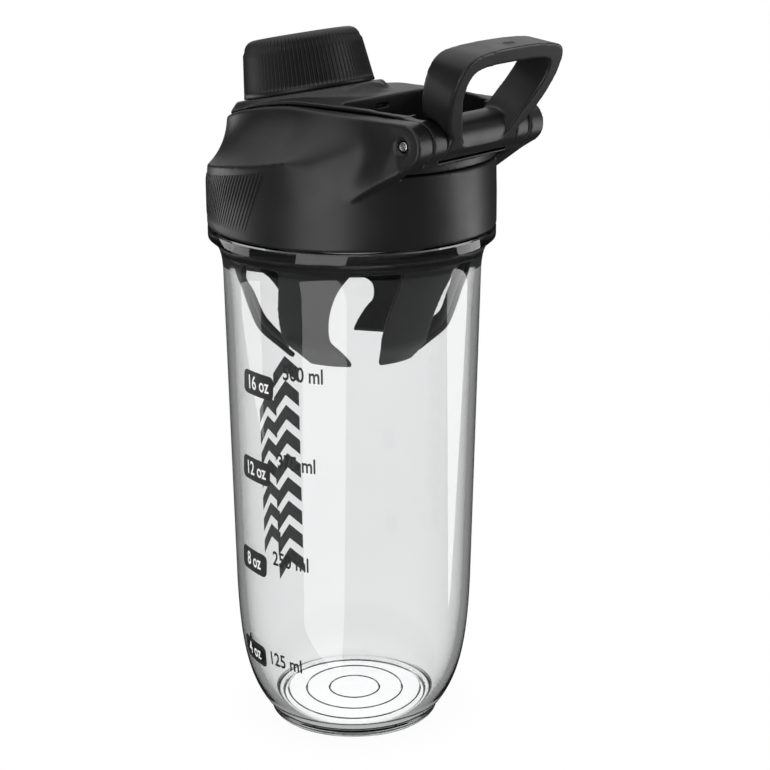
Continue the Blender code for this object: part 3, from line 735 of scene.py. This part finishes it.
def arm_top(x, y):
    """Height of the arm's upper face: a low rim, rising to the collar round the cap."""
    local = CAP_FRAME.inverted() @ Vector((x, y, CAP_AT.z))
    axis_x = CAP_AT.x - local.z * sin(TILT)
    away = hypot((x - axis_x) * cos(TILT), y)
    plane = CAP_AT.z + (x - CAP_AT.x) * tan(TILT) - 0.14
    cone = plane - max(away - CAP_R - 1.3, 0) * 1.4
    rim = seam_height(x) + blend(0.4, 1.5, smooth((x + 30) / 30)) - 0.8 * smooth((x - 22) / 16)
    soft = 1.2
    if abs(cone - rim) < soft:
        return (cone + rim) / 2 + (cone - rim) ** 2 / (4 * soft) + soft / 4
    return max(cone, rim)


def arm_plate(half, count):
    """The arm's plate as rings between the collar's hole and the seam outline."""
    psis = [180 * i / half for i in range(half)]
    angles = [(p, -1) for p in psis] + [(180 - p, 1) for p in psis]
    hole = 15.0

    def edge(psi):
        low, high = 0.0, 80.0
        for _ in range(30):
            r = (low + high) / 2
            x, y = CAP_AT.x - r * cos(radians(psi)), r * sin(radians(psi))
            inside = x < 38.0 and y < seam_half(x) if x > FRONT_X else hypot(x - FRONT_X, y) < FRONT_R
            low, high = (r, high) if inside else (low, r)
        return low

    edges = {psi: edge(psi) for psi, side in angles}

    def ring(share, height):
        points = []
        for psi, side in angles:
            r = blend(hole, edges[psi], share)
            x, y = CAP_AT.x - r * cos(radians(psi)), side * r * sin(radians(psi))
            points.append(Vector((x, y, height(x, y))))
        return points

    thick = 2.4
    over = [ring(i / count, arm_top) for i in range(count + 1)]
    seam = ring(1.0, lambda x, y: seam_height(x) + GAP)
    shares = (0.93, 0.8, 0.5, 0.0)
    under = [ring(s, lambda x, y: max(arm_top(x, y) - thick, seam_height(x) + GAP)) for s in shares]
    return skin(over + [seam] + under, closed=True)


def recess_outline(grow):
    """The dish under the carry loop, drawn in plan; grow makes the tub round it."""
    front, back = 12.6 - grow, 38.2 + 0.5 * grow
    side = 21.8 + min(grow, 0.9)
    corner = 6.0
    upper = arc((front + corner, side - corner), corner, 180, 90, 12) + [(back, side)]
    return upper + [(x, -y) for x, y in reversed(upper)]


def make_arm(black):
    arm = to_object("flip_arm_body", arm_plate(90, 24))
    shape(arm, "UNION", prism(recess_outline(2.0), TUB_Z, SEAM_Z + 0.5, upright))
    web = [(34.0, TUB_Z), (HINGE_X - 1.2, TUB_Z - 0.3), (HINGE_X + 0.4, TUB_Z - 0.3)]
    web += arc((HINGE_X, HINGE_Z), KNUCKLE_R, -62, 190, 44)
    web += [(37.2, RECESS_Z - 0.4), (34.0, RECESS_Z - 0.4)]
    shape(arm, "UNION", prism(web, -(ARM_HALF - 0.3), ARM_HALF - 0.3, sideways))
    cheek = [(x, arm_top(x, 22.4)) for x in (28.0, 29.5, 31.0, 32.5)]
    knuckle_top = (HINGE_X, HINGE_Z + KNUCKLE_R - 0.02)
    cheek += bezier((34.0, 204.05), (38.0, 204.05), (41.0, 203.0), knuckle_top, 12)
    cheek += [(HINGE_X, HINGE_Z)] + [(x, RECESS_Z) for x in (40.0, 37.0, 34.0, 31.0, 28.0)]
    shape(arm, "DIFFERENCE", prism(recess_outline(0), RECESS_Z, 220.0, upright))
    for s in (-1, 1):
        outer = [Vector((x, s * (ARM_HALF - 0.25), z)) for x, z in cheek]
        inner = [Vector((x, s * (21.9 - 2.7 * smooth((x - 29.0) / 9.0)), z)) for x, z in cheek]
        shape(arm, "UNION", skin([outer, inner]))
    room = [(34.5, RECESS_Z)] + arc((HINGE_X, HINGE_Z), KNUCKLE_R + 0.4, 205, 335, 24)
    room += [(56.0, HINGE_Z), (56.0, 215.0), (34.5, 215.0)]
    shape(arm, "DIFFERENCE", prism(room, -KNUCKLE_IN, KNUCKLE_IN, sideways))
    curve = [(SKIRT_R - 0.2, 180.0), (70.0, 180.0), (70.0, 189.7), (SKIRT_R - 0.2, 189.7)]
    shape(arm, "DIFFERENCE", turned(curve, 160))
    shape(arm, "DIFFERENCE", drum(COLLAR_HOLE, -14.0, 9.0, 120, CAP_FRAME))
    shape(arm, "DIFFERENCE", drum(PIN_BORE, -40, 40, 32, ALONG_PIN))
    slot = bezier((-4.0, 201.2), (-2.0, 202.7), (2.0, 202.7), (4.0, 201.2), 16)
    slot += bezier((4.0, 201.2), (2.0, 201.2), (-2.0, 201.2), (-4.0, 201.2), 8)[1:-1]
    shape(arm, "DIFFERENCE", skin([[Vector((x, y, z)) for y, z in slot] for x in (11.0, 13.5)]))
    moulded(arm, 0.42)
    finish(arm, black)
    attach(arm, "arm")
    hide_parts("flip_arm")


# ---------------------------------------------------------------- cap

def make_spout_cap(black):
    """Ribbed shell: fine upright ribs between a plain lower rim and a rounded top edge."""
    ribs, per = 92, 8
    sides = ribs * per
    lean = (CAP_R - CAP_TOP_R) / CAP_H
    corner = 3.6

    def wall(z):
        return CAP_R - lean * z

    def ring(r, z, depth=0.0):
        points = []
        for i in range(sides):
            a = 2 * pi * i / sides
            dip = (0.5 - 0.5 * cos(2 * pi * (i % per) / per)) ** 0.7
            reach = r - depth * dip
            points.append(CAP_FRAME @ Vector((reach * cos(a), reach * sin(a), z)))
        return points

    shoulder = arc((wall(CAP_H) - corner, CAP_H - corner), corner, 8, 90, 10)
    depth = 0.62
    rings = [ring(3.0, CAP_H - 1.6), ring(wall(CAP_H) - 2.6, CAP_H - 1.6)]
    rings += [ring(wall(13.0) - 1.3, 13.0), ring(wall(0) - 1.4, 0.25), ring(wall(0) - 1.2, 0.0)]
    rings += [ring(wall(0) - 0.25, 0.0), ring(wall(0), 0.25), ring(wall(1.2), 1.2)]
    rings += [ring(wall(1.4 + k * 0.2), 1.4 + k * 0.2, depth * smooth((k + 1) / 5)) for k in range(5)]
    rings += [ring(wall(z), z, depth) for z in (4.0, 6.0, 8.0, 10.0, 12.0, 13.4)]
    rings += [ring(r, z, depth * (1 - smooth(k / 7))) for k, (r, z) in enumerate(shoulder)]
    rings += [ring(12.0, CAP_H + 0.02), ring(6.0, CAP_H + 0.03), ring(3.0, CAP_H + 0.03)]
    cap = to_object("ribbed_cap", skin(rings), black)
    cap.data.set_sharp_from_angle(angle=radians(60))
    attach(cap, "cap")
    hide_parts("spout_cap")


# ---------------------------------------------------------------- carry loop

LEAN = radians(25.0)
LOOP_IN, LOOP_OUT = -5.0, 6.3
LOOP_TOP = (32.8, 28.6)
LOOP_SHOULDER = 20.0
BARREL_HALF = 16.1
# one side of the loop's frame and of its window: across the bottle, along the loop
LOOP_SIDE = (
    (16.0, -0.5), (16.0, 4.0), (18.6, 6.6), (22.0, 12.4), (23.8, 18.0), (24.2, 22.0),
    (23.8, 26.2), (22.6, 28.8), (20.6, 30.6), (17.5, 31.6), (12.0, 32.3), (6.0, 32.7),
)
WINDOW_SIDE = (
    (7.0, 0.5), (10.2, 2.2), (13.4, 8.2), (15.8, 12.2), (18.1, 17.0),
    (19.0, 20.8), (18.8, 23.6), (17.5, 25.8), (14.5, 26.9), (7.8, 27.5),
)
DASH_HALF, DASH_LOW, DASH_HIGH, DASH_DEPTHS = 1.9, 30.2, 33.0, (0.9, 2.0)


def loop_point(w, u, v):
    """A point of the loop: w across the bottle, u along the loop, v out of its outer face."""
    return Vector((HINGE_X + u * sin(LEAN) + v * cos(LEAN), w, HINGE_Z + u * cos(LEAN) - v * sin(LEAN)))


def loop_ring(side, v):
    """One smooth outline of the loop or its window at depth v, drawn in towards the inner face."""
    top = blend(LOOP_TOP[1], LOOP_TOP[0], (v - LOOP_IN) / (LOOP_OUT - LOOP_IN))
    share = (top - LOOP_SHOULDER) / (LOOP_TOP[0] - LOOP_SHOULDER)
    corners = [(-w, u) for w, u in side] + [(w, u) for w, u in reversed(side)]
    count = 8 * (len(corners) - 1)
    points = [between(corners, i / count) for i in range(count)] + [corners[-1]]
    drawn = [(w, u if u < LOOP_SHOULDER else blend(LOOP_SHOULDER, u, share)) for w, u in points]
    return [loop_point(w, u, v) for w, u in drawn]


def dash_ring(v):
    """Outline of the short raised dash, following the slope of the loop's top edge."""
    lift = (LOOP_TOP[0] - LOOP_TOP[1]) / (LOOP_OUT - LOOP_IN) * (v - LOOP_OUT) + 0.3
    corners = ((-DASH_HALF, DASH_LOW), (DASH_HALF, DASH_LOW), (DASH_HALF, DASH_HIGH), (-DASH_HALF, DASH_HIGH))
    return [loop_point(w, u + lift, v) for w, u in corners]


def make_loop(black):
    frame_mesh = skin([loop_ring(LOOP_SIDE, v) for v in (LOOP_IN, LOOP_OUT)])
    loop = to_object("carry_loop_body", frame_mesh)
    shape(loop, "DIFFERENCE", skin([loop_ring(WINDOW_SIDE, v) for v in (LOOP_IN - 3.0, LOOP_OUT + 3.0)]))
    for s in (-1, 1):
        shape(loop, "DIFFERENCE", drum(KNUCKLE_R + 0.5, s * (BARREL_HALF + 0.05), s * 30, 96, ALONG_PIN))
    shape(loop, "UNION", drum(KNUCKLE_R, -BARREL_HALF, BARREL_HALF, 96, ALONG_PIN))
    shape(loop, "DIFFERENCE", drum(PIN_BORE, -40, 40, 32, ALONG_PIN))
    shape(loop, "UNION", skin([dash_ring(v) for v in DASH_DEPTHS]))
    moulded(loop, 0.34, 10)
    finish(loop, black)
    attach(loop, "loop")
    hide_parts("carry_loop")


# ---------------------------------------------------------------- mixer

MIXER_R, MIXER_Z = (35.9, 37.2), (156.8, 181.6)
CLAWS, CLAW_AT, CLAW_THICK = 6, 22.5, 1.7


def claw_mesh(middle):
    """One claw: a plate that follows the neck, then bends in to a hooked tip."""
    # radius, height, and the two edges in degrees from the claw's middle
    stations = (
        (36.5, 159.5, -20.0, 20.0),
        (36.3, 156.0, -18.0, 17.0),
        (35.6, 150.0, -19.5, 11.0),
        (33.7, 142.0, -23.0, 6.5),
        (31.4, 134.5, -25.0, 5.5),
        (29.4, 131.0, -24.5, 8.0),
        (25.0, 126.8, -22.0, 13.5),
        (21.2, 123.2, -19.0, 18.0),
    )
    steps, columns = 42, 14
    rows = [between(stations, i / steps) for i in range(steps + 1)]
    rings = []
    for i, (r, z, low, high) in enumerate(rows):
        before, after = rows[max(i - 1, 0)], rows[min(i + 1, steps)]
        run = Vector((after[0] - before[0], after[1] - before[1])).normalized()
        inward = Vector((run.y, -run.x)) * CLAW_THICK
        angles = [radians(middle + blend(low, high, k / columns)) for k in range(columns + 1)]
        outer = [Vector((r * sin(a), -r * cos(a), z)) for a in angles]
        back_r, back_z = r + inward.x, z + inward.y
        back = [Vector((back_r * sin(a), -back_r * cos(a), back_z)) for a in reversed(angles)]
        rings.append(outer + back)
    return skin(rings)


def make_mixer(black):
    inner, outer = MIXER_R
    low, high = MIXER_Z
    ring = turned([(inner, low), (outer, low), (outer, high), (inner, high)], 200)
    mixer = to_object("claw_mixer", ring)
    shape(mixer, "UNION", combine(*[claw_mesh(CLAW_AT + 360 / CLAWS * k) for k in range(CLAWS)]))
    moulded(mixer, 0.42, 9)
    finish(mixer, black)
    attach(mixer, "lid")
    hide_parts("mixer")


# ---------------------------------------------------------------- hinge pin

def make_pin(steel):
    end = 29.4
    outline = [(0, -end), (0.9, -end)] + arc((PIN_BORE - 0.75, -end + 0.45), 0.45, -90, 0, 5)
    outline += arc((PIN_BORE - 0.75, end - 0.45), 0.45, 0, 90, 5) + [(0.9, end), (0, end)]
    pin = to_object("steel_pin", turned(outline, 48, ALONG_PIN), steel, 40)
    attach(pin, "lid")
    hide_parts("hinge_pin")


# ---------------------------------------------------------------- studio

def make_camera():
    """Level with the top of the loop from 0.58 m away, looking down a little."""
    data = bpy.data.cameras.new("camera")
    data.lens = 89.18
    data.sensor_width = 36.0
    data.clip_start = 0.05
    data.clip_end = 20.0
    cam = bpy.data.objects.new("camera", data)
    cam.location = Vector((382.66, -440.02, 292.03)) * MM
    down = radians(17.262)
    look = Vector((-0.6428 * cos(down), 0.7660 * cos(down), -sin(down)))
    cam.rotation_euler = look.to_track_quat("-Z", "Y").to_euler()
    bpy.context.scene.collection.objects.link(cam)
    bpy.context.scene.camera = cam


def soft_box(name, az, distance, low, high, width, radiance):
    """An upright softbox seen only in gloss, az degrees round from the camera's side, in metres."""
    data = bpy.data.lights.new(name, "AREA")
    data.shape = "RECTANGLE"
    data.size, data.size_y = width, high - low
    data.energy = radiance * pi * width * (high - low)
    light = bpy.data.objects.new(name, data)
    a = radians(FACING + az)
    light.location = (sin(a) * distance, -cos(a) * distance, (low + high) / 2)
    light.rotation_euler = Vector((-sin(a), cos(a), 0)).to_track_quat("-Z", "Z").to_euler()
    light.visible_camera = False
    light.visible_transmission = False
    bpy.context.scene.collection.objects.link(light)
    return light


def make_floor():
    """Pale and even, with a faint painted contact shadow and a painted pool of light where the clear base
    would gather light; gloss sees past it to the softboxes.
    """
    mesh = bmesh.new()
    bmesh.ops.create_grid(mesh, x_segments=1, y_segments=1, size=6000)
    floor = to_object("floor", mesh)
    mat = bpy.data.materials.new("paper_floor")
    mat.use_nodes = True
    tree = mat.node_tree
    tree.nodes.remove(tree.nodes["Principled BSDF"])
    path = tree.nodes.new("ShaderNodeLightPath")
    # Painted contact shadow: ambient occlusion within 3 cm dims the floor's glow to 0.95 under and around the
    # bottle.
    shade = tree.nodes.new("ShaderNodeAmbientOcclusion")
    shade.inputs["Distance"].default_value = 0.03
    glow = tree.nodes.new("ShaderNodeEmission")
    tree.links.new(ramp(tree, shade.outputs["AO"], 0.95, 1.0, 0.0, 0.8), glow.inputs["Color"])
    # Painted pool of light: the glow is 1.5 times as strong within 25.5 mm of the middle, under the clear
    # base, easing to 1.0 by 27.5 mm.
    away = tree.nodes.new("ShaderNodeVectorMath")
    away.operation = "LENGTH"
    tree.links.new(tree.nodes.new("ShaderNodeTexCoord").outputs["Object"], away.inputs[0])
    painted_light_pool = tree.nodes.new("ShaderNodeMapRange")
    for socket, value in zip(("From Min", "From Max", "To Min", "To Max"), (0.0255, 0.0275, 1.5, 1.0)):
        painted_light_pool.inputs[socket].default_value = value
    tree.links.new(away.outputs["Value"], painted_light_pool.inputs["Value"])
    tree.links.new(painted_light_pool.outputs["Result"], glow.inputs["Strength"])
    gone = tree.nodes.new("ShaderNodeBsdfTransparent")

    def maths(operation, a, b):
        node = tree.nodes.new("ShaderNodeMath")
        node.operation = operation
        node.use_clamp = True
        tree.links.new(a, node.inputs[0])
        if isinstance(b, float):
            node.inputs[1].default_value = b
        else:
            tree.links.new(b, node.inputs[1])
        return node.outputs["Value"]

    mirrored = maths("SUBTRACT", path.outputs["Is Glossy Ray"], path.outputs["Is Transmission Ray"])
    inside = maths("MULTIPLY", path.outputs["Glossy Depth"], 0.6)
    unseen = maths("ADD", maths("ADD", mirrored, inside), path.outputs["Is Shadow Ray"])
    mix = tree.nodes.new("ShaderNodeMixShader")
    tree.links.new(unseen, mix.inputs["Fac"])
    tree.links.new(glow.outputs["Emission"], mix.inputs[1])
    tree.links.new(gone.outputs["BSDF"], mix.inputs[2])
    tree.links.new(mix.outputs["Shader"], tree.nodes["Material Output"].inputs["Surface"])
    floor.data.materials.append(mat)


def make_world():
    """A dim room, lighter overhead."""
    world = bpy.data.worlds.new("studio")
    bpy.context.scene.world = world
    world.use_nodes = True
    tree = world.node_tree
    place = tree.nodes.new("ShaderNodeTexCoord")
    split = tree.nodes.new("ShaderNodeSeparateXYZ")
    tree.links.new(place.outputs["Generated"], split.inputs["Vector"])
    sky = ramp(tree, split.outputs["Z"], 0.03, 1.5, 0.3, 0.98)
    tree.links.new(sky, tree.nodes["Background"].inputs["Color"])


def make_studio():
    make_camera()
    make_floor()
    make_world()
    soft_box("key", -22, 1.1, -0.75, 0.55, 0.76, 2.5)
    soft_box("right", 99, 1.0, -0.42, 0.50, 0.42, 3.0)
    soft_box("left", -112, 1.0, -0.50, 0.50, 0.30, 2.2)
    soft_box("back", 180, 1.6, 0.22, 1.0, 1.3, 0.6)
    bpy.context.scene.view_settings.view_transform = "Standard"


def main():
    make_studio()
    lid_black = satin_plastic("satin_black_lid", (0.0085, 0.0085, 0.009), 0.38)
    arm_black = satin_plastic("satin_black_arm", (0.009, 0.009, 0.0095), 0.38)
    cap_black = satin_plastic("satin_black_cap", (0.009, 0.009, 0.0095), 0.40)
    loop_black = satin_plastic("satin_black_loop", (0.009, 0.009, 0.0095), 0.36)
    mixer_black = satin_plastic("satin_black_mixer", (0.015, 0.015, 0.016), 0.34, 0.05, 0.5)
    core_black = satin_plastic("satin_black_core", (0.016, 0.016, 0.017), 0.5)
    make_cup(clear_plastic())
    make_marks(print_ink("black_ink", (0.012, 0.012, 0.013)), print_ink("white_ink", (0.82, 0.82, 0.82)))
    make_motif(print_ink("grey_ink", (0.02, 0.02, 0.022)))
    make_lid(lid_black)
    make_skirt_ribs(lid_black)
    make_arm(arm_black)
    make_spout_cap(cap_black)
    make_loop(loop_black)
    make_mixer(mixer_black)
    make_pin(turned_steel())
    finish(bpy.data.objects["cap_core"], core_black)
    finish(bpy.data.objects["cap_seal"], silicone("grey_cap_silicone", (0.34, 0.35, 0.36)))
    finish(bpy.data.objects["lid_seal"], silicone("grey_seal_silicone", (0.30, 0.31, 0.32)))


main()
